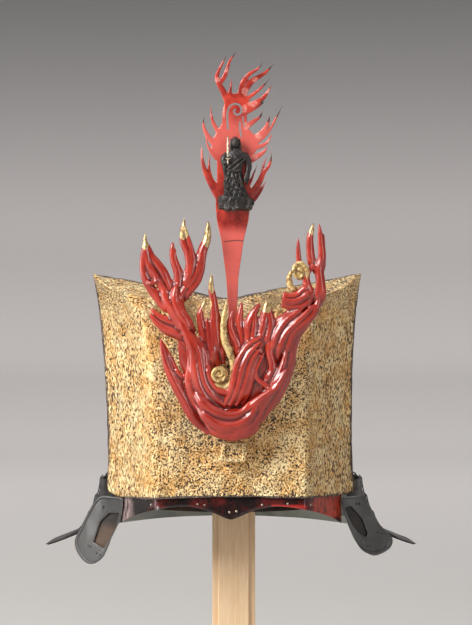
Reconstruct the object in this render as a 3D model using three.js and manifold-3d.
// Kabuto: a helmet whose iron bowl carries a gilded hood, a carved flame crest
// and a flaring neck guard, on a square wooden post with a flat foot.
// Millimetres, +Z up, the face of the helmet towards -Y.
// The origin is the centre of the foot's underside.

import * as THREE from "three";
import { mergeVertices } from "three/addons/utils/BufferGeometryUtils.js";
import Module from "manifold-3d";

const wasm = await Module();
wasm.setup();

// ---------------------------------------------------------------- sizes

const GAP = 0.4; // clearance between neighbouring pieces
const WIDE = 200; // reaches past the helmet on every side, for the boxes that cut it
const RIM_HEIGHT = 235; // helmet datum (lower edge of the hood) above the floor

const FOOT = { side: 270, thick: 22, bevel: 5 };
const POST = { x: 3, y: 6, width: 47, stile: 7, step: 4, top: 92 };
const CAP = { radius: 62, bottom: 92, top: 130 };

const BOWL = { halfWidth: 104, halfDepth: 114, y: 4, bottom: -8, top: 122, wall: 3 };
const WAIST = { bottom: 10, top: 13 };

const HOOD = {
  wall: 3,
  seamY: -35, // depth of the two side seams
  seamCurve: 13, // the top seam bows forward from the middle to the corners
  frontY: -124,
  lean: 14, // the face leans back this far by the height of the front fold
  recess: 4, // the middle of the face is hollowed
  sideLean: 4.4, // the top stands this far towards the wearer's right
  slantWall: 1.16, // width of the slanting facet's wall, beside its thickness
  ridge: 5, // rounding of the ridge between face and facet
  brow: 88, // half width of the hollowed face
  backDepth: 166,
};
const SEAM = { middle: 217, rise: 28 };
const FOLD = { middle: 183, rise: 34 };
const RIDGE = { bottom: 81, splay: 27, corner: 18, inset: 0.58 };

const SOCKET = {
  x: 3, width: 28, front: -138, back: -100, bottom: 46, top: 67,
  mouth: 18, tongueTop: 74, tongueFront: -129,
};

const BROW = { reach: 119.5, wall: 2.4, flare: 4 };
const BROW_EDGE = [
  { x: 0, z: -16 },
  { x: 12, z: -11 },
  { x: 26, z: -5 },
  { x: 45, z: -1 },
  { x: 62, z: -2 },
  { x: 80, z: -5 },
  { x: 97, z: -11 },
  { x: 111, z: -18 },
  { x: 124, z: -28 },
];

// Edges of the neck lames, from the uppermost edge down: half width, depth at
// the back, and height at the sides and at the back.
const LAME_EDGES = [
  { halfWidth: 137, backDepth: 136, sideZ: 32, backZ: 34 },
  { halfWidth: 143, backDepth: 144, sideZ: 14, backZ: 19 },
  { halfWidth: 150, backDepth: 153, sideZ: -4, backZ: 6 },
  { halfWidth: 157, backDepth: 162, sideZ: -22, backZ: -8 },
  { halfWidth: 166, backDepth: 172, sideZ: -38, backZ: -21 },
  { halfWidth: 203, backDepth: 189, sideZ: -53, backZ: -35 },
];
const LAME = { wall: 2, overlap: 0.3, frontDepth: 107, corner: 12 };
const LAME_ENDS = [121, 123, 122, 112, 99]; // degrees from the back to each front end
const LACES = { count: 11, spacing: 19, width: 5, thick: 1.2, clear: 0.6 };

const TURNBACK = {
  innerX: 118, y: -62, sweep: 0.72, span: 52, bulge: 7, wall: 2.2, panel: 1.5,
  clear: 80, // nothing of the lames stands within this depth in front of the flap
};
const TURNBACK_EDGE = [
  { x: 115, z: 1 },
  { x: 121, z: -14 },
  { x: 124, z: -28 },
  { x: 132, z: -41 },
  { x: 138, z: -53 },
  { x: 145, z: -60 },
  { x: 155, z: -62.5 },
  { x: 164, z: -57 },
  { x: 169, z: -48 },
  { x: 161, z: -32 },
  { x: 150, z: -15 },
  { x: 139, z: 1 },
];
const WINDOW_EDGE = [
  { x: 123.5, z: -16 },
  { x: 127, z: -28 },
  { x: 138.5, z: -49 },
  { x: 147, z: -44 },
  { x: 141, z: -24 },
  { x: 131, z: -16 },
];
const PANEL = { x: 135, z: -32, grow: 1.16 }; // the window's outline, grown about this point

// Carved tongues of flame: route of the middle line, then the half width at
// the root and where it is widest, and the depth of the middle line.
const FLAMES = [
  { // body between the limbs
    wide: [21, 20], y: -143,
    route: [[2, 98], [17, 126], [26, 153], [28, 173], [28, 196]],
  },
  { // body beside the left limb
    wide: [14, 12], y: -143,
    route: [[-14, 112], [-26, 136], [-27, 160], [-25, 190]],
  },
  { // left limb
    wide: [24, 14], y: -145,
    route: [[6, 96], [-19, 106], [-36, 132], [-43, 160], [-55, 192], [-62, 212], [-60, 234]],
  },
  { // left rim
    wide: [17, 7], y: -143,
    route: [[-2, 84], [-26, 96], [-45, 122], [-60, 143], [-67, 158], [-73, 175]],
  },
  { // left outer
    wide: [9, 10], y: -141,
    route: [[-62, 208], [-75, 225], [-84, 240], [-88, 256], [-90, 271], [-89, 287]],
  },
  { // left small
    wide: [7, 4], y: -141,
    route: [[-58, 228], [-56, 244], [-60, 255], [-61, 265], [-60, 276]],
  },
  { // left tall
    wide: [8, 5], y: -142,
    route: [[-56, 226], [-45, 244], [-43, 259], [-48, 274], [-50, 286], [-48, 301]],
  },
  { // left inner
    wide: [8, 6], y: -143,
    route: [[-58, 226], [-42, 237], [-34, 251], [-32, 265], [-24, 279], [-23, 298]],
  },
  { // left spur
    wide: [12, 7], y: -141,
    route: [[-40, 168], [-56, 182], [-71, 189], [-81, 196], [-86, 205]],
  },
  { // middle short
    wide: [7, 4], y: -144,
    route: [[-22, 160], [-25, 187], [-31, 200], [-24, 217]],
  },
  { // middle tall
    wide: [9, 4], y: -144,
    route: [[-16, 152], [-17, 181], [-16, 205], [-19, 224], [-20, 243]],
  },
  { // middle gold
    wide: [5, 3.4], y: -148,
    route: [[-4, 140], [2, 154], [-5, 170], [-7, 191], [-4, 213]],
  },
  { // middle bed
    wide: [17, 15], y: -139,
    route: [[-10, 122], [-8, 146], [6, 170], [4, 186], [4, 205]],
  },
  { // right first
    wide: [10, 4], y: -143,
    route: [[14, 150], [15, 190], [12, 214]],
  },
  { // right second
    wide: [10, 5], y: -143,
    route: [[24, 150], [22, 190], [30, 213]],
  },
  { // right third
    wide: [10, 7], y: -144,
    route: [[34, 150], [39, 192], [38, 217]],
  },
  { // right limb
    wide: [25, 14], y: -145,
    route: [[2, 94], [24, 113], [43, 130], [54, 150], [58, 170],
      [70, 190], [85, 206], [91, 224], [88, 248]],
  },
  { // right edge
    wide: [16, 9], y: -145,
    route: [[8, 84], [24, 92], [38, 106], [48, 124], [58, 144], [62, 166]],
  },
  { // right outer
    wide: [7, 4.5], y: -142,
    route: [[91, 222], [93, 240], [90, 260], [87, 278], [92, 298]],
  },
  { // right tip
    wide: [6, 3.6], y: -142,
    route: [[92, 246], [91, 262], [96, 285]],
  },
  { // right gilt tip
    wide: [6, 4.5], y: -141,
    route: [[88, 244], [80, 262], [80, 280], [87, 297]],
  },
  { // right inner tip
    wide: [6, 3.6], y: -141,
    route: [[80, 244], [71, 258], [71, 282]],
  },
  { // right gold prong
    wide: [5, 3.6], y: -146,
    route: [[72, 218], [62, 227], [63, 246]],
  },
  { // right curl
    wide: [8, 8], y: -148,
    route: [[86, 234], [79, 218], [68, 212], [52, 217]],
  },
];
// A tongue is widest a little before half way; its depth is a share of its width.
const FLAME = { belly: 0.45, tip: 0.5, depth: 0.85, deepest: 11 };
const CHIN = { x: -1, z: 90, rx: 33, ry: 16, rz: 22, y: -145 };
const JEWELS = [
  { x: -10, z: 134, y: -149, radius: 11 },
  { x: 74, z: 240, y: -147, radius: 9 },
];

// The flat flame: a tapered stem, a leaf-shaped field, and curling tongues as
// root, bend, tip and root half width.
const HALO = { y: -126.5, thick: 2.6 };
const HALO_STEM = [
  { z: 168, left: -2, right: 5 },
  { z: 205, left: -2.5, right: 6.5 },
  { z: 240, left: -5, right: 8 },
  { z: 278, left: -10, right: 13.5 },
  { z: 300, left: -15, right: 19 },
  { z: 318, left: -16, right: 21 },
  { z: 334, left: -15.5, right: 22 },
  { z: 352, left: -14, right: 19 },
  { z: 372, left: -20, right: 22 },
  { z: 384, left: -25, right: 27 },
  { z: 396, left: -18, right: 21 },
  { z: 410, left: -10, right: 17 },
  { z: 424, left: -9, right: 16 },
  { z: 434, left: -7, right: 14 },
];
const TONGUES = [
  { root: [-12, 330], bend: [-26, 344], tip: [-32, 379], wide: 6 },
  { root: [-16, 340], bend: [-24, 352], tip: [-22, 371], wide: 4.5 },
  { root: [-19, 374], bend: [-30, 388], tip: [-27, 407], wide: 4 },
  { root: [-14, 386], bend: [-20, 404], tip: [-21, 425], wide: 5 },
  { root: [-2, 426], bend: [-22, 446], tip: [-4, 472], wide: 5.5 },
  { root: [-10, 446], bend: [-6, 456], tip: [4, 474], wide: 3.6 },
  { root: [-3, 430], bend: [-1, 438], tip: [1, 449], wide: 3.4 },
  { root: [8, 424], bend: [12, 446], tip: [34, 466], wide: 6 },
  { root: [12, 438], bend: [26, 440], tip: [44, 461], wide: 6 },
  { root: [12, 426], bend: [26, 430], tip: [42, 448], wide: 4 },
  { root: [14, 416], bend: [32, 420], tip: [43, 441], wide: 5 },
  { root: [13, 412], bend: [26, 412], tip: [36, 420], wide: 3.6 },
  { root: [12, 396], bend: [24, 402], tip: [34, 415], wide: 5 },
  { root: [18, 384], bend: [32, 392], tip: [41, 408], wide: 5 },
  { root: [22, 382], bend: [42, 392], tip: [54, 419], wide: 3.6 },
  { root: [20, 374], bend: [34, 366], tip: [40, 380], wide: 5 },
  { root: [16, 346], bend: [24, 350], tip: [28, 358], wide: 3 },
  { root: [14, 330], bend: [33, 344], tip: [38, 366], wide: 6 },
  { root: [24, 340], bend: [42, 352], tip: [42, 374], wide: 3.6 },
  { root: [18, 318], bend: [34, 326], tip: [36, 340], wide: 4.5 },
];
const SPIRAL = { x: 6, z: 417, radius: 5.5, slot: 2.6, legX: -2.6, legBottom: 395 };

// The carved figure, standing on a rock in front of the flat flame.
const FIGURE = { x: 5, y: -138 };
const ROBE = [
  { z: 322, halfWidth: 15, halfDepth: 8, x: 4 },
  { z: 328, halfWidth: 14.5, halfDepth: 9, x: 4 },
  { z: 334, halfWidth: 12.5, halfDepth: 8.5, x: 1 },
  { z: 345, halfWidth: 10, halfDepth: 8, x: -1 },
  { z: 356, halfWidth: 8.5, halfDepth: 7.5, x: -1.5 },
  { z: 364, halfWidth: 11, halfDepth: 7.5, x: -0.5 },
  { z: 370, halfWidth: 12, halfDepth: 7, x: 0.5 },
  { z: 374, halfWidth: 5, halfDepth: 5, x: 0 },
];
const HEAD = { z: 379, radius: 6 };
const ROCK = { bottom: 308, top: 323.5, halfWidth: 17, halfDepth: 10, x: -1 };
const SWORD = { x: -3, tip: 387, hilt: 358, width: 2.2, thick: 1.4, y: -149.5 };

// ---------------------------------------------------------------- colours

const MATERIALS = {
  foot: { color: 0xd0ae86, roughness: 0.62, metalness: 0.0 },
  wood: { color: 0xd4b28c, roughness: 0.6, metalness: 0.0 },
  iron: { color: 0x3a3632, roughness: 0.55, metalness: 0.7 },
  gold: { color: 0xb08a45, roughness: 0.42, metalness: 0.75 },
  brow: { color: 0x4a1714, roughness: 0.4, metalness: 0.0 },
  redLacquer: { color: 0xb8352b, roughness: 0.28, metalness: 0.0 },
  blackLacquer: { color: 0x2b2b29, roughness: 0.38, metalness: 0.0 },
  leather: { color: 0x4d3a2c, roughness: 0.7, metalness: 0.0 },
  lace: { color: 0x1b1d24, roughness: 0.85, metalness: 0.0 },
  figure: { color: 0x24211f, roughness: 0.45, metalness: 0.0 },
  blade: { color: 0xd8cdb4, roughness: 0.4, metalness: 0.3 },
};

function material(name) {
  return new THREE.MeshStandardMaterial(MATERIALS[name]);
}

// ---------------------------------------------------------------- helpers

const lerp = THREE.MathUtils.lerp;
const smoothstep = THREE.MathUtils.smoothstep;

/** A smooth curve through a table's rows, read by one column: value(x). */
function columnCurve(rows, key, column) {
  const points = rows.map((row) => new THREE.Vector2(row[key], row[column]));
  return (x) => {
    let i = points.findIndex((point) => x <= point.x);
    if (i < 0) i = points.length - 1;
    i = Math.max(i, 1);
    const before = points[Math.max(i - 2, 0)];
    const start = points[i - 1];
    const end = points[i];
    const after = points[Math.min(i + 1, points.length - 1)];
    const span = end.x - start.x;
    const slopeIn = ((end.y - before.y) / Math.max(end.x - before.x, 1e-6)) * span;
    const slopeOut = ((after.y - start.y) / Math.max(after.x - start.x, 1e-6)) * span;
    const t = THREE.MathUtils.clamp((x - start.x) / span, 0, 1);
    const a = 2 * t ** 3 - 3 * t ** 2 + 1;
    const b = t ** 3 - 2 * t ** 2 + t;
    const c = -2 * t ** 3 + 3 * t ** 2;
    const d = t ** 3 - t ** 2;
    return a * start.y + b * slopeIn + c * end.y + d * slopeOut;
  };
}

/** A closed mesh from triangles of points; coinciding points become one. */
function geometryFromTriangles(triangles) {
  const keys = new Map();
  const positions = [];
  const index = [];
  const vertex = (point) => {
    const key = point.map((value) => Math.round(value * 1e4)).join();
    if (!keys.has(key)) {
      keys.set(key, positions.length / 3);
      positions.push(...point);
    }
    return keys.get(key);
  };
  for (const triangle of triangles) {
    const [a, b, c] = triangle.map(vertex);
    if (a !== b && b !== c && a !== c) index.push(a, b, c);
  }
  const geometry = new THREE.BufferGeometry();
  geometry.setAttribute("position", new THREE.Float32BufferAttribute(positions, 3));
  geometry.setIndex(index);
  return geometry;
}

/** Two triangles for the quad a, b, c, d. */
function quad(a, b, c, d) {
  return [[a, b, c], [a, c, d]];
}

/**
 * A closed plate between two sheets over the same grid. front(u, v) and
 * back(u, v) give points, with u and v from 0 to 1; seen from the front,
 * u runs to the right and v upwards.
 */
function plate(columns, rows, front, back) {
  const grid = (sheet) =>
    Array.from({ length: rows + 1 }, (_, j) =>
      Array.from({ length: columns + 1 }, (_, i) => sheet(i / columns, j / rows)));
  const near = grid(front);
  const far = grid(back);
  const triangles = [];
  for (let j = 0; j < rows; j += 1) {
    for (let i = 0; i < columns; i += 1) {
      triangles.push(...quad(near[j][i], near[j][i + 1], near[j + 1][i + 1], near[j + 1][i]));
      triangles.push(...quad(far[j][i + 1], far[j][i], far[j + 1][i], far[j + 1][i + 1]));
    }
  }
  for (let i = 0; i < columns; i += 1) {
    triangles.push(...quad(far[0][i], far[0][i + 1], near[0][i + 1], near[0][i]));
    triangles.push(...quad(near[rows][i], near[rows][i + 1], far[rows][i + 1], far[rows][i]));
  }
  for (let j = 0; j < rows; j += 1) {
    triangles.push(...quad(far[j][0], near[j][0], near[j + 1][0], far[j + 1][0]));
    triangles.push(...quad(near[j][columns], far[j][columns], far[j + 1][columns], near[j + 1][columns]));
  }
  return geometryFromTriangles(triangles);
}

/** Rings of equal length joined into a closed body, each end shut by a fan. */
function loft(rings) {
  const triangles = [];
  const count = rings[0].length;
  const middle = (ring) => [0, 1, 2].map((k) => ring.reduce((sum, p) => sum + p[k], 0) / count);
  for (let j = 0; j + 1 < rings.length; j += 1) {
    for (let i = 0; i < count; i += 1) {
      const next = (i + 1) % count;
      triangles.push(...quad(rings[j][i], rings[j][next], rings[j + 1][next], rings[j + 1][i]));
    }
  }
  const first = rings[0];
  const last = rings[rings.length - 1];
  for (let i = 0; i < count; i += 1) {
    const next = (i + 1) % count;
    triangles.push([middle(first), first[next], first[i]]);
    triangles.push([middle(last), last[i], last[next]]);
  }
  return geometryFromTriangles(triangles);
}

/** The manifold solid of a closed geometry, turned the right way out. */
function solid(geometry) {
  const bare = geometry.clone();
  bare.deleteAttribute("normal");
  bare.deleteAttribute("uv");
  const merged = mergeVertices(bare, 1e-4);
  const vertProperties = Float32Array.from(merged.attributes.position.array);
  const triVerts = Uint32Array.from(merged.index.array);
  const made = new wasm.Manifold(new wasm.Mesh({ numProp: 3, vertProperties, triVerts }));
  if (made.volume() > 0) return made;
  for (let i = 0; i < triVerts.length; i += 3) {
    [triVerts[i], triVerts[i + 1]] = [triVerts[i + 1], triVerts[i]];
  }
  return new wasm.Manifold(new wasm.Mesh({ numProp: 3, vertProperties, triVerts }));
}

/** A three.js geometry from a manifold solid. */
function geometry(body) {
  const mesh = body.getMesh();
  const made = new THREE.BufferGeometry();
  made.setAttribute("position", new THREE.Float32BufferAttribute(mesh.vertProperties, 3));
  made.setIndex(new THREE.Uint32BufferAttribute(mesh.triVerts, 1));
  return made;
}

function union(bodies) {
  return bodies.reduce((sum, body) => sum.add(body));
}

/** A box from its lowest and highest corners. */
function box(low, high) {
  const size = high.map((value, k) => value - low[k]);
  const made = new THREE.BoxGeometry(...size);
  made.translate(...low.map((value, k) => value + size[k] / 2));
  return solid(made);
}

function ellipsoid({ x, y, z, rx, ry, rz }, across = 16, down = 8) {
  const made = new THREE.SphereGeometry(1, across, down);
  made.rotateX(Math.PI / 2);
  made.scale(rx, ry, rz);
  made.translate(x, y, z);
  return solid(made);
}

/** An outline in the X-Z plane, given depth along Y from near to far. */
function prism(points, near, far) {
  const shape = new THREE.Shape(points.map(([x, z]) => new THREE.Vector2(x, z)));
  const made = new THREE.ExtrudeGeometry(shape, { depth: far - near, bevelEnabled: false });
  made.rotateX(Math.PI / 2);
  made.translate(0, far, 0);
  return solid(made);
}

// ---------------------------------------------------------------- hood

/** Height of the top seam: low in the middle, rising to the two corners. */
function seamHeight(c) {
  return SEAM.middle + SEAM.rise * (c * c + 0.0025) ** 0.45;
}

/** Height of the fold between the face and the scooped top. */
function foldHeight(c) {
  const across = Math.abs(c);
  const shoulder = FOLD.rise * smoothstep(across, 0.18, 0.46);
  const corner = (SEAM.middle + SEAM.rise - FOLD.middle - FOLD.rise) * across ** 6;
  return Math.min(FOLD.middle + shoulder + corner, seamHeight(c));
}

/** Half width between the side seams: drawn in at the waist, wide above. */
function hoodHalfWidth(z) {
  const top = SEAM.middle + SEAM.rise;
  const flare = 13 * Math.max(z / top, 0) ** 3.2;
  const skirt = 2.4 * Math.max(1 - z / 60, 0) ** 2;
  return 132.5 + flare + skirt;
}

/** How far from the middle the ridge between face and side facet stands. */
function ridgePlace(z) {
  return RIDGE.bottom + RIDGE.splay * (z / 225) ** 6 + RIDGE.corner * smoothstep(z, 226, 246);
}

function sideLean(z) {
  return -HOOD.sideLean * (z / (SEAM.middle + SEAM.rise));
}

/** The lower edge climbs towards the middle of the face and the right corner. */
function rimHeight(c) {
  return 2.5 + 6 * (1 - c * c) + 4 * Math.max(c, 0) ** 3;
}

function seamDepth(c) {
  return HOOD.seamY + HOOD.seamCurve * (1 - c * c);
}

/** Depth of the face at a distance x from the middle: hollowed, then swept back. */
function faceDepth(x, z, inset) {
  const halfWidth = hoodHalfWidth(z) - inset * HOOD.slantWall;
  const lean = HOOD.lean * (Math.max(z, 0) / FOLD.middle) ** 1.3;
  const recess = HOOD.recess * Math.max(1 - (x / HOOD.brow) ** 2, 0);
  const face = HOOD.frontY + lean + recess + inset;
  const ridge = ridgePlace(z) - inset * RIDGE.inset;
  const across = Math.max(halfWidth - x, 0) / Math.max(halfWidth - ridge, 6);
  const facet = lerp(HOOD.seamY, HOOD.frontY + lean + inset, across);
  return (face + facet + Math.hypot(face - facet, HOOD.ridge)) / 2;
}

/** Side-to-side place of a grid column, closer together near the seams. */
function spread(u) {
  return Math.sin(Math.PI * (u - 0.5));
}

const FOLD_ROW = 0.7; // share of the rows that lies below the fold

/** A point of the hood's face or scooped top, moved inwards by inset. */
function hoodFront(u, v, inset, bottom = null) {
  const c = spread(u);
  const low = bottom ?? rimHeight(c) + Math.min(inset, 0);
  const fold = foldHeight(c) - inset;
  const seam = seamHeight(c) - inset * 1.3;
  const below = v <= FOLD_ROW;
  const z = below ? lerp(low, fold, v / FOLD_ROW) : lerp(fold, seam, (v - FOLD_ROW) / (1 - FOLD_ROW));
  const x = c * (hoodHalfWidth(z) - inset * HOOD.slantWall);
  if (below) return [x + sideLean(z), faceDepth(Math.abs(x), z, inset), z];
  const t = (v - FOLD_ROW) / (1 - FOLD_ROW);
  return [x + sideLean(z), lerp(faceDepth(Math.abs(x), fold, inset), seamDepth(c), t), z];
}

/** A point of the hood's rounded back, moved inwards by inset. */
function hoodBack(u, v, inset, bottom = null) {
  const c = spread(u);
  const low = bottom ?? rimHeight(c) * c * c + Math.min(inset, 0);
  const fold = seamHeight(c) - 70 * (1 - c ** 6) - inset;
  const seam = seamHeight(c) - inset * 1.3;
  const t = (v - FOLD_ROW) / (1 - FOLD_ROW);
  const z = v <= FOLD_ROW ? lerp(low, fold, v / FOLD_ROW) : lerp(fold, seam, 1 - (1 - t) ** 2);
  const x = c * (hoodHalfWidth(z) - inset * HOOD.slantWall);
  const height = THREE.MathUtils.clamp((z - low) / (seam - low), 0, 1);
  const crown = (1 - height ** 2.3) ** (1 / 1.9);
  const around = Math.max(1 - Math.abs(c) ** 2.2, 0) ** (1 / 2.2);
  const seamY = lerp(HOOD.seamY, seamDepth(c), height);
  return [x + sideLean(z), seamY + (HOOD.backDepth - inset) * crown * around, z];
}

/** The hood filled in as one block; bottom, if given, cuts it off level. */
function hoodBlock(inset, columns, rows, bottom = null) {
  const front = (u, v) => hoodFront(u, v, inset, bottom);
  const back = (u, v) => {
    const edge = u === 0 || u === 1 || v === 1;
    return edge ? hoodFront(u, v, inset, bottom) : hoodBack(u, v, inset, bottom);
  };
  return solid(plate(columns, rows, front, back));
}

const hoodOuter = hoodBlock(0, 20, 10);
const hoodInner = hoodBlock(HOOD.wall, 12, 10, -20);
const hoodClearOuter = hoodBlock(-GAP, 20, 10);
const hoodClearInner = hoodBlock(HOOD.wall + GAP, 12, 10, -20);
const hoodShell = hoodOuter.subtract(hoodInner);
const hoodClearShell = hoodClearOuter.subtract(hoodClearInner);

// ---------------------------------------------------------------- bowl

/** The bowl's dome filled in, smaller all round by shrink and longer below by drop. */
function domeBlock(shrink, drop) {
  const height = BOWL.top - BOWL.bottom;
  const steps = 7;
  const profile = [new THREE.Vector2(0, -drop)];
  for (let i = 0; i <= steps; i += 1) {
    const angle = (i / steps) * (Math.PI / 2);
    const radius = (BOWL.halfWidth - shrink) * Math.max(Math.cos(angle), 0) ** 0.85;
    const z = (height - shrink) * Math.sin(angle) ** 0.95;
    profile.push(new THREE.Vector2(i === steps ? 0 : radius, i === 0 ? -drop : z));
  }
  const dome = new THREE.LatheGeometry(profile, 20);
  dome.rotateX(Math.PI / 2);
  dome.scale(1, BOWL.halfDepth / BOWL.halfWidth, 1);
  dome.translate(0, BOWL.y, BOWL.bottom);
  return solid(dome);
}

/** Iron dome, open below. */
function bowlSolid() {
  return domeBlock(0, 0).subtract(domeBlock(BOWL.wall, 5));
}

/** Flat ring that fills the space between the bowl and the inside of the hood. */
function waistRingSolid() {
  const slab = box([-WIDE, -WIDE, WAIST.bottom], [WIDE, WIDE, WAIST.top]);
  return hoodClearInner.intersect(slab).subtract(domeBlock(-GAP, 5));
}

// ---------------------------------------------------------------- stand

function footGeometry() {
  const half = FOOT.side / 2;
  const top = half - FOOT.bevel;
  const square = (h, z) => [[-h, -h, z], [h, -h, z], [h, h, z], [-h, h, z]];
  return loft([square(half, 0), square(half, FOOT.thick - FOOT.bevel), square(top, FOOT.thick)]);
}

/** Square post with a rebate down each corner of its front and back. */
function postGeometry() {
  const half = POST.width / 2;
  const inner = half - POST.stile;
  const low = half - POST.step;
  const outline = [
    [-half, -low], [-inner, -low], [-inner, -half], [inner, -half], [inner, -low], [half, -low],
    [half, low], [inner, low], [inner, half], [-inner, half], [-inner, low], [-half, low],
  ];
  const ring = (z) => outline.map(([x, y]) => [x + POST.x, y + POST.y, z]);
  const bottom = FOOT.thick - RIM_HEIGHT + GAP;
  return loft([ring(bottom), ring(POST.top - GAP)]);
}

/** Turned block under the crown of the bowl. */
function capSolid() {
  const drum = new THREE.CylinderGeometry(CAP.radius, CAP.radius * 0.9, CAP.top - CAP.bottom, 24);
  drum.rotateX(Math.PI / 2);
  drum.translate(POST.x, POST.y, (CAP.top + CAP.bottom) / 2);
  return solid(drum).intersect(domeBlock(BOWL.wall + GAP, 0));
}

// ---------------------------------------------------------------- brow

/** Band under the face of the hood, arched over each eye. */
function browSolid() {
  const edge = columnCurve(BROW_EDGE, "x", "z");
  const place = (u, v, behind) => {
    const x = lerp(-BROW.reach, BROW.reach, u);
    const bottom = edge(Math.abs(x));
    const z = lerp(bottom, WAIST.bottom - GAP, v);
    const rim = rimHeight(x / hoodHalfWidth(0));
    const flare = BROW.flare * THREE.MathUtils.clamp((rim - GAP - z) / 22, 0, 1);
    return [x, faceDepth(Math.abs(x), WAIST.bottom, HOOD.wall + 2 * GAP) - flare + behind, z];
  };
  const band = plate(24, 2, (u, v) => place(u, v, 0), (u, v) => place(u, v, BROW.wall));
  return solid(band).subtract(hoodClearShell);
}

// ---------------------------------------------------------------- neck guard

/** Point of the neck guard's flare; s counts lame edges, angle is from the back. */
function neckPoint(s, angle, offset) {
  const i = Math.min(Math.floor(s), LAME_EDGES.length - 2);
  const t = s - i;
  const above = LAME_EDGES[i];
  const below = LAME_EDGES[i + 1];
  const read = (column) => lerp(above[column], below[column], t);
  const toBack = Math.max(Math.cos(angle), 0) ** 1.4;
  const wide = read("halfWidth") + offset;
  const depth = Math.cos(angle) > 0 ? read("backDepth") + offset : LAME.frontDepth + offset;
  const z = lerp(read("sideZ"), read("backZ"), toBack);
  return [wide * Math.sin(angle), depth * Math.cos(angle), z + offset * 0.25];
}

const LAME_STEP = (LAME.wall + GAP) / (1 - LAME.overlap);

/** How far a lame stands outside the plain flare: most at its upper edge. */
function lameOffset(k, s) {
  const q = THREE.MathUtils.clamp((s - lameTop(k)) / (k + 1 - lameTop(k)), 0, 1);
  return (k === 0 ? 0 : LAME_STEP * 1.25) * (1 - q);
}

function lameTop(k) {
  return k === 0 ? 0 : k - LAME.overlap;
}

/** One bent lame, its front corners rounded off. */
function lameSolid(k) {
  const end = THREE.MathUtils.degToRad(LAME_ENDS[k]);
  const corner = THREE.MathUtils.degToRad(LAME.corner);
  const last = k === LAME_ENDS.length - 1;
  const stops = [k + 1, ...(last ? [k + 0.5] : []), k, ...(k > 0 ? [lameTop(k)] : [])];
  const rows = stops.length - 1;
  const place = (u, v, outside) => {
    const angle = lerp(end, -end, u);
    const past = THREE.MathUtils.clamp((Math.abs(angle) - end + corner) / corner, 0, 1);
    const reach = 0.45 + 0.55 * Math.sqrt(Math.max(1 - past * past, 0));
    const s = lerp(lameTop(k), stops[Math.round(v * rows)], reach);
    return neckPoint(s, angle, lameOffset(k, s) + outside);
  };
  const lame = plate(26, rows, (u, v) => place(u, v, LAME.wall), (u, v) => place(u, v, 0));
  const thick = TURNBACK.wall + TURNBACK.panel + 2 * GAP;
  const flap = turnbackSlab(-TURNBACK.clear, TURNBACK.clear + thick);
  return solid(lame).subtract(hoodClearOuter).subtract(flap).subtract(mirrored(flap));
}

/** A strip of lacing that runs down over the lames at one angle. */
function laceGeometry(angle) {
  const last = LAME_ENDS.length - 1;
  const outside = (k, s) => lameOffset(k, s) + LAME.wall + LACES.clear;
  const stops = [{ s: 0.4, offset: outside(0, 0) }];
  for (let k = 1; k <= last; k += 1) {
    const top = lameTop(k);
    stops.push({ s: top - 0.16, offset: outside(k - 1, top - 0.16) });
    stops.push({ s: top - 0.06, offset: outside(k, top) });
    stops.push({ s: top + (k === last ? 0.3 : 0.08), offset: outside(k, top) });
  }
  const rows = stops.length - 1;
  const place = (u, v, outside) => {
    const stop = stops[rows - Math.round(v * rows)];
    const radius = LAME_EDGES[2].halfWidth;
    const side = (0.5 - u) * (LACES.width / radius);
    return neckPoint(stop.s, angle + side, stop.offset + outside);
  };
  return plate(1, rows, (u, v) => place(u, v, LACES.thick), (u, v) => place(u, v, 0));
}

// ---------------------------------------------------------------- turnbacks

/** Depth of the turned-back flap at one distance from the middle. */
function turnbackDepth(x) {
  const across = x - TURNBACK.innerX;
  const t = THREE.MathUtils.clamp(across / TURNBACK.span, 0, 1);
  return TURNBACK.y + TURNBACK.sweep * across - TURNBACK.bulge * Math.sin(Math.PI * t);
}

function turnbackSlab(behind, wall) {
  const place = (u, v, far) => {
    const x = lerp(100, 172, u);
    return [x, turnbackDepth(x) + behind + far, lerp(-70, 30, v)];
  };
  return solid(plate(10, 1, (u, v) => place(u, v, 0), (u, v) => place(u, v, wall)));
}

/** Flap outline with smooth sides: a curve through the table's rows. */
function smoothOutline(rows, count) {
  const points = rows.map((row) => new THREE.Vector3(row.x, row.z, 0));
  const curve = new THREE.CatmullRomCurve3(points, true);
  return curve.getPoints(count).slice(0, -1).map((point) => [point.x, point.y]);
}

function turnbackSolid() {
  const outline = prism(smoothOutline(TURNBACK_EDGE, 30), -WIDE, WIDE);
  const window = prism(WINDOW_EDGE.map((row) => [row.x, row.z]), -WIDE, WIDE);
  const flap = turnbackSlab(0, TURNBACK.wall).intersect(outline).subtract(window);
  return flap.subtract(hoodClearOuter);
}

/** Leather panel that backs the window of a flap. */
function panelSolid() {
  const { x, z, grow } = PANEL;
  const outline = WINDOW_EDGE.map((row) => [x + (row.x - x) * grow, z + (row.z - z) * grow]);
  return turnbackSlab(TURNBACK.wall + GAP, TURNBACK.panel).intersect(prism(outline, -WIDE, WIDE));
}

function mirrored(body) {
  return body.mirror([1, 0, 0]);
}

// ---------------------------------------------------------------- crest

function socketSolid() {
  const half = SOCKET.width / 2;
  const low = [SOCKET.x - half, SOCKET.front, SOCKET.bottom];
  const high = [SOCKET.x + half, SOCKET.back, SOCKET.top];
  const left = SOCKET.x - SOCKET.mouth / 2;
  const right = SOCKET.x + SOCKET.mouth / 2;
  const tongue = box([left, SOCKET.tongueFront, SOCKET.top - 1], [right, SOCKET.back, SOCKET.tongueTop]);
  const mouth = box([left, SOCKET.front - 1, SOCKET.bottom + 5], [right, SOCKET.front + 4, SOCKET.top - 4]);
  return box(low, high).add(tongue).subtract(mouth).subtract(hoodClearOuter);
}

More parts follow.
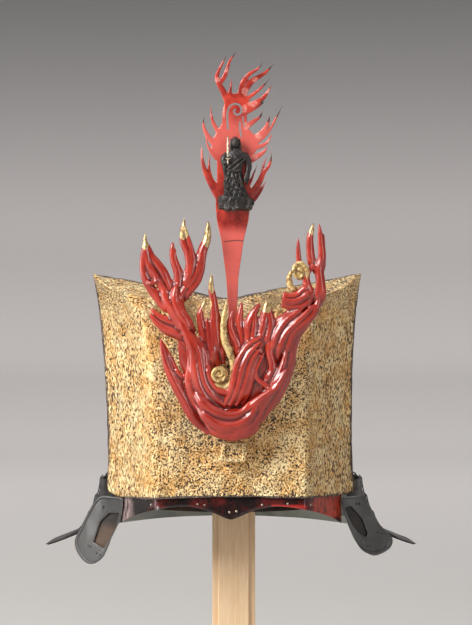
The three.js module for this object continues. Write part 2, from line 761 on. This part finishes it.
/** One carved tongue: a six-sided section carried along its route to a point. */
function flameSolid({ route, wide, y }) {
  const points = route.map(([x, z]) => new THREE.Vector3(x, 0, z));
  const curve = new THREE.CatmullRomCurve3(points, false, "centripetal");
  const steps = route.length + 1;
  const rings = [];
  for (let j = 0; j <= steps; j += 1) {
    const t = j / steps;
    const middle = curve.getPointAt(t);
    const along = curve.getTangentAt(t);
    const belly = lerp(wide[0], wide[1], Math.min(t / FLAME.belly, 1));
    const towardsTip = Math.max((t - FLAME.belly) / (1 - FLAME.belly), 0);
    const half = Math.max(belly * Math.sqrt(1 - towardsTip ** 1.3), FLAME.tip);
    const deep = Math.min(half * FLAME.depth, FLAME.deepest);
    const ring = [];
    for (let i = 0; i < 6; i += 1) {
      const angle = (i / 6) * 2 * Math.PI;
      const across = half * Math.cos(angle);
      ring.push([middle.x + along.z * across, y + deep * Math.sin(angle), middle.z - along.x * across]);
    }
    rings.push(ring);
  }
  return solid(loft(rings));
}

function crestSolid() {
  const tongues = FLAMES.map(flameSolid);
  const chin = ellipsoid(CHIN, 12, 6);
  const jewels = JEWELS.map(({ x, y, z, radius }) =>
    ellipsoid({ x, y, z, rx: radius, ry: radius * 0.6, rz: radius }, 8, 4));
  const carved = union([chin, ...tongues, ...jewels]);
  const haloSpace = box([-40, HALO.y - GAP, 120], [60, 0, 320]);
  const level = box([-WIDE, -WIDE, 0], [WIDE, 0, SOCKET.top + GAP]);
  const seat = box([-WIDE, SOCKET.tongueFront - GAP, 0], [WIDE, 0, SOCKET.tongueTop + GAP]);
  return carved.subtract(haloSpace).subtract(level).subtract(seat).subtract(hoodClearOuter);
}

// ---------------------------------------------------------------- flat flame

/** A flat tongue: a strip along a bent middle line, narrowing to a point. */
function tonguePrism({ root, bend, tip, wide }) {
  const curve = new THREE.QuadraticBezierCurve(
    new THREE.Vector2(...root), new THREE.Vector2(...bend), new THREE.Vector2(...tip));
  const left = [];
  const right = [];
  const steps = 4;
  for (let j = 0; j <= steps; j += 1) {
    const t = j / steps;
    const middle = curve.getPoint(t);
    const along = curve.getTangent(t);
    const half = Math.max((wide + 0.6) * (1 - t ** 1.7) * (1 - 0.2 * t), 0.4);
    left.push([middle.x - along.y * half, middle.y + along.x * half]);
    right.unshift([middle.x + along.y * half, middle.y - along.x * half]);
  }
  return prism([...right, ...left], HALO.y, HALO.y + HALO.thick);
}

/** Slot that curls round the small scroll at the head of the flat flame. */
function spiralSlot() {
  const outer = [];
  const inner = [];
  const steps = 14;
  for (let i = 0; i <= steps; i += 1) {
    const t = i / steps;
    const angle = Math.PI * (1 - 1.75 * t);
    const radius = (SPIRAL.radius + 2.4) * (1 - 0.45 * t);
    const point = (r) => [SPIRAL.x - 1 + r * Math.cos(angle), SPIRAL.z + r * Math.sin(angle)];
    outer.push(point(radius + SPIRAL.slot / 2));
    inner.unshift(point(radius - SPIRAL.slot / 2));
  }
  const near = HALO.y - 1;
  const far = HALO.y + HALO.thick + 1;
  const leg = prism([
    [SPIRAL.legX - 1.4, SPIRAL.legBottom], [SPIRAL.legX + 1.4, SPIRAL.legBottom],
    [SPIRAL.legX + 1.4, SPIRAL.z + 1], [SPIRAL.legX - 1.4, SPIRAL.z + 1],
  ], near, far);
  return prism([...inner, ...outer], near, far).add(leg);
}

function haloSolid() {
  const left = HALO_STEM.map((row) => [row.left, row.z]);
  const right = HALO_STEM.map((row) => [row.right, row.z]).reverse();
  const field = prism([...right, ...left], HALO.y, HALO.y + HALO.thick);
  return union([field, ...TONGUES.map(tonguePrism)]).subtract(spiralSlot());
}

// ---------------------------------------------------------------- figure

function ovalRing({ z, halfWidth, halfDepth, x }, count) {
  return Array.from({ length: count }, (_, i) => {
    const angle = (i / count) * 2 * Math.PI;
    return [FIGURE.x + x + halfWidth * Math.cos(angle), FIGURE.y + halfDepth * Math.sin(angle), z];
  });
}

/** A limb from one joint to the next, each end with its own radius. */
function limb(from, to, thick) {
  const start = new THREE.Vector3(...from);
  const end = new THREE.Vector3(...to);
  const rod = new THREE.CylinderGeometry(thick[1], thick[0], start.distanceTo(end), 8);
  rod.applyQuaternion(new THREE.Quaternion().setFromUnitVectors(
    new THREE.Vector3(0, 1, 0), end.clone().sub(start).normalize()));
  rod.translate(...start.add(end).multiplyScalar(0.5).toArray());
  return solid(rod);
}

function figureSolid(blade) {
  const { x, y } = FIGURE;
  const robe = solid(loft(ROBE.map((row) => ovalRing(row, 14))));
  const rock = solid(loft([
    ovalRing({ ...ROCK, z: ROCK.bottom, halfWidth: ROCK.halfWidth * 0.55, x: -3 }, 10),
    ovalRing({ ...ROCK, z: ROCK.bottom + 7, x: ROCK.x }, 10),
    ovalRing({ ...ROCK, z: ROCK.top, x: 0, halfWidth: ROCK.halfWidth * 0.95 }, 10),
  ]));
  const parts = [
    robe,
    rock,
    ellipsoid({ x, y, z: HEAD.z, rx: HEAD.radius, ry: HEAD.radius, rz: HEAD.radius + 1.5 }, 10, 6),
    limb([x + 10, y, 369], [x + 13, y - 1, 352], [4.5, 3.4]),
    limb([x + 13, y - 1, 353], [x + 9, y - 7, 343], [3.4, 2.6]),
    limb([x - 8, y, 369], [x - 13, y - 3, 358], [4.5, 3.6]),
    limb([x - 13, y - 3, 359], [x - 8.5, y - 9, 361], [3.6, 2.8]),
  ];
  const back = box([-WIDE, HALO.y - GAP, ROCK.bottom - GAP], [WIDE, 0, 2 * WIDE]);
  return union(parts).subtract(back).subtract(blade);
}

function swordBox(grow) {
  const half = SWORD.width / 2 + grow;
  const deep = SWORD.thick / 2 + grow;
  return box(
    [SWORD.x - half, SWORD.y - deep, SWORD.hilt - grow],
    [SWORD.x + half, SWORD.y + deep, SWORD.tip + grow],
  );
}

// ---------------------------------------------------------------- assembly

const kabuto = new THREE.Group();
const helmet = new THREE.Group();
helmet.position.z = RIM_HEIGHT;
kabuto.add(helmet);

function addPiece(parent, name, shape, finish) {
  const made = shape.isBufferGeometry ? shape : geometry(shape);
  const mesh = new THREE.Mesh(made, material(finish));
  mesh.name = name;
  parent.add(mesh);
}

addPiece(kabuto, "stand_base", footGeometry(), "foot");
addPiece(helmet, "stand_post", postGeometry(), "wood");
addPiece(helmet, "post_cap", capSolid(), "wood");
addPiece(helmet, "bowl", bowlSolid(), "iron");
addPiece(helmet, "waist_ring", waistRingSolid(), "iron");
addPiece(helmet, "gold_hood", hoodShell, "gold");
addPiece(helmet, "brow_plate", browSolid(), "brow");

LAME_ENDS.forEach((_, k) => addPiece(helmet, `neck_lame_${k + 1}`, lameSolid(k), "blackLacquer"));
for (let i = 0; i < LACES.count; i += 1) {
  const angle = THREE.MathUtils.degToRad((i - (LACES.count - 1) / 2) * LACES.spacing);
  addPiece(helmet, `lacing_${i + 1}`, laceGeometry(angle), "lace");
}

const turnback = turnbackSolid();
const panel = panelSolid();
addPiece(helmet, "turnback_left", turnback, "blackLacquer");
addPiece(helmet, "turnback_right", mirrored(turnback), "blackLacquer");
addPiece(helmet, "turnback_panel_left", panel, "leather");
addPiece(helmet, "turnback_panel_right", mirrored(panel), "leather");

addPiece(helmet, "crest_socket", socketSolid(), "gold");
addPiece(helmet, "flame_crest", crestSolid(), "redLacquer");
addPiece(helmet, "flame_halo", haloSolid(), "redLacquer");
addPiece(helmet, "figure", figureSolid(swordBox(GAP)), "figure");
addPiece(helmet, "figure_sword", swordBox(0), "blade");

export default kabuto;
